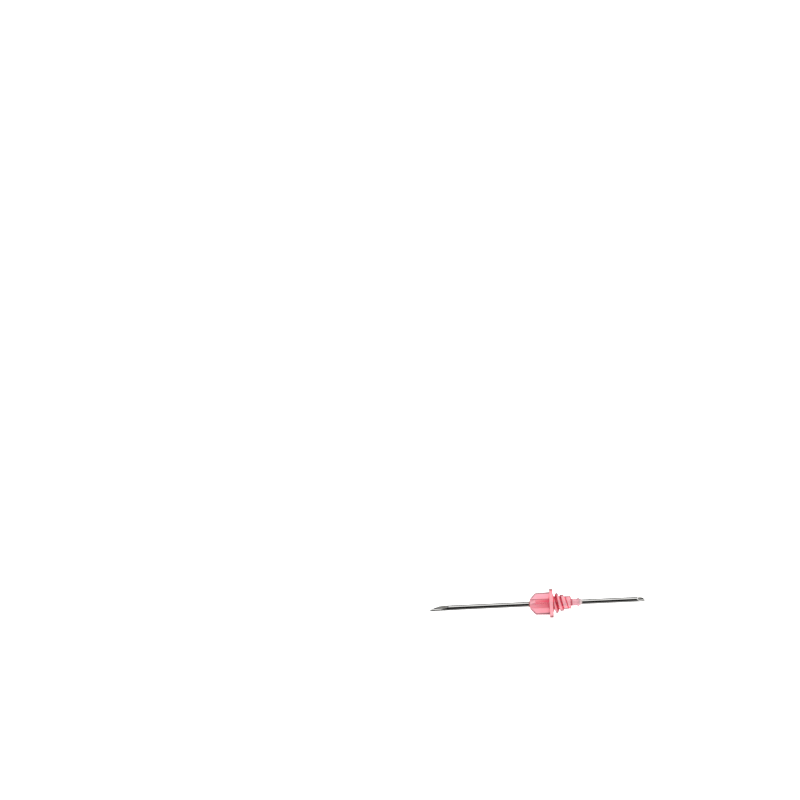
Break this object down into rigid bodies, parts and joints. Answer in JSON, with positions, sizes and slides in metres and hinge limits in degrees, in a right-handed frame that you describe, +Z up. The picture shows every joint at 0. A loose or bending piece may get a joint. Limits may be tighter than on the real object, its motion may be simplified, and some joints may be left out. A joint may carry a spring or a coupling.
{
  "type": "blood collection needle",
  "caption": "Double-ended blood collection needle: a steel tube with a lancet point at each end in a pink finned hub with a flange and a tapered screw thread.",
  "frame": {"origin": "centre of the underside of the needle's box as it lies at rest, on the surface that it lies on", "axes": "+X along the needle from the patient point towards the tube point, level with the ground; the needle itself rises by about 5.5 degrees towards +X; +Z up"},
  "size_m": [0.054, 0.0072, 0.0072],
  "materials": {
    "tube_steel": "drawn and polished stainless steel, ground at both points",
    "hub_plastic": "translucent pink moulded plastic, glossy",
    "front_glue": "clear set adhesive, tinted by the hub behind it",
    "rear_glue": "clear set adhesive, whitish"
  },
  "bodies": {
    "root": {"cannula": "tube_steel", "hub": "hub_plastic", "front_adhesive": "front_glue", "rear_adhesive": "rear_glue"}
  },
  "joints": []
}
